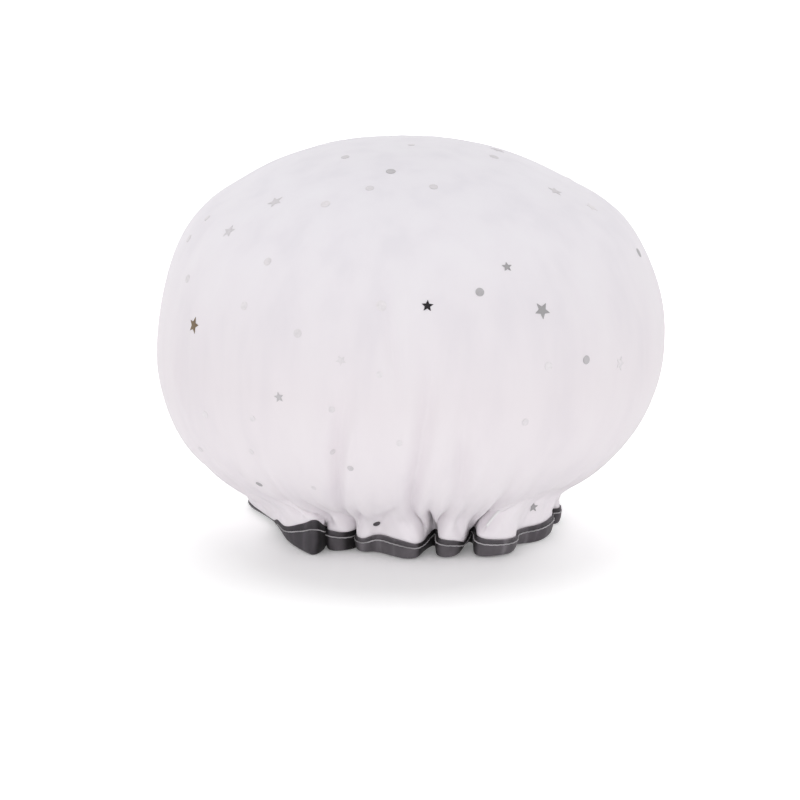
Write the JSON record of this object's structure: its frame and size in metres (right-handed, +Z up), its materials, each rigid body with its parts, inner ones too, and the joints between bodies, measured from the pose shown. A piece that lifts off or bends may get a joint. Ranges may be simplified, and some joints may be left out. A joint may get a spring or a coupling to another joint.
{
  "type": "shower cap",
  "caption": "Puffed round shower cap of pale starred cloth over a waterproof liner, gathered into an elasticated dark bound hem; worn over the hair to keep it dry.",
  "frame": {"origin": "middle of the hem's foot, on the surface that the cap stands on", "axes": "+Z up through the crown, -Y to the front, +X to the cap's right as seen from the front"},
  "size_m": [0.2492, 0.2488, 0.1837],
  "materials": {
    "cover_cloth": "fine sheer white polyester cloth, softly creased",
    "liner_film": "thin white waterproof film with a faint gloss",
    "binding_tape": "dark grey woven bias tape",
    "elastic_strip": "white woven flat elastic",
    "sewing_thread": "light grey polyester sewing thread",
    "foil_silver": "pressed silver foil",
    "foil_bronze": "pressed warm silver foil"
  },
  "bodies": {
    "root": {"outer_cover": "cover_cloth", "waterproof_liner": "liner_film", "hem_binding": "binding_tape", "hem_elastic": "elastic_strip", "needle_thread": "sewing_thread", "bobbin_thread": "sewing_thread", "foil_star_01": "foil_silver", "foil_star_02": "foil_silver", "foil_star_03": "foil_silver", "foil_star_04": "foil_silver", "foil_star_05": "foil_bronze", "foil_star_06": "foil_silver", "foil_star_07": "foil_silver", "foil_star_08": "foil_silver", "foil_star_09": "foil_silver", "foil_star_10": "foil_silver", "foil_star_11": "foil_silver", "foil_star_12": "foil_silver", "foil_star_13": "foil_silver", "foil_star_14": "foil_silver", "foil_star_15": "foil_silver", "foil_star_16": "foil_silver", "foil_star_17": "foil_silver", "foil_star_18": "foil_silver", "foil_star_19": "foil_silver", "foil_star_20": "foil_silver", "foil_dot_01": "foil_silver", "foil_dot_02": "foil_silver", "foil_dot_03": "foil_silver", "foil_dot_04": "foil_silver", "foil_dot_05": "foil_silver", "foil_dot_06": "foil_silver", "foil_dot_07": "foil_silver", "foil_dot_08": "foil_silver", "foil_dot_09": "foil_silver", "foil_dot_10": "foil_silver", "foil_dot_11": "foil_silver", "foil_dot_12": "foil_silver", "foil_dot_13": "foil_silver", "foil_dot_14": "foil_silver", "foil_dot_15": "foil_silver", "foil_dot_16": "foil_silver", "foil_dot_17": "foil_silver", "foil_dot_18": "foil_silver", "foil_dot_19": "foil_silver", "foil_dot_20": "foil_silver", "foil_dot_21": "foil_silver", "foil_dot_22": "foil_silver", "foil_dot_23": "foil_silver", "foil_dot_24": "foil_silver", "foil_dot_25": "foil_silver", "foil_dot_26": "foil_silver", "foil_dot_27": "foil_silver", "foil_dot_28": "foil_silver", "foil_dot_29": "foil_silver", "foil_dot_30": "foil_silver", "foil_dot_31": "foil_silver", "foil_dot_32": "foil_silver"}
  },
  "joints": []
}
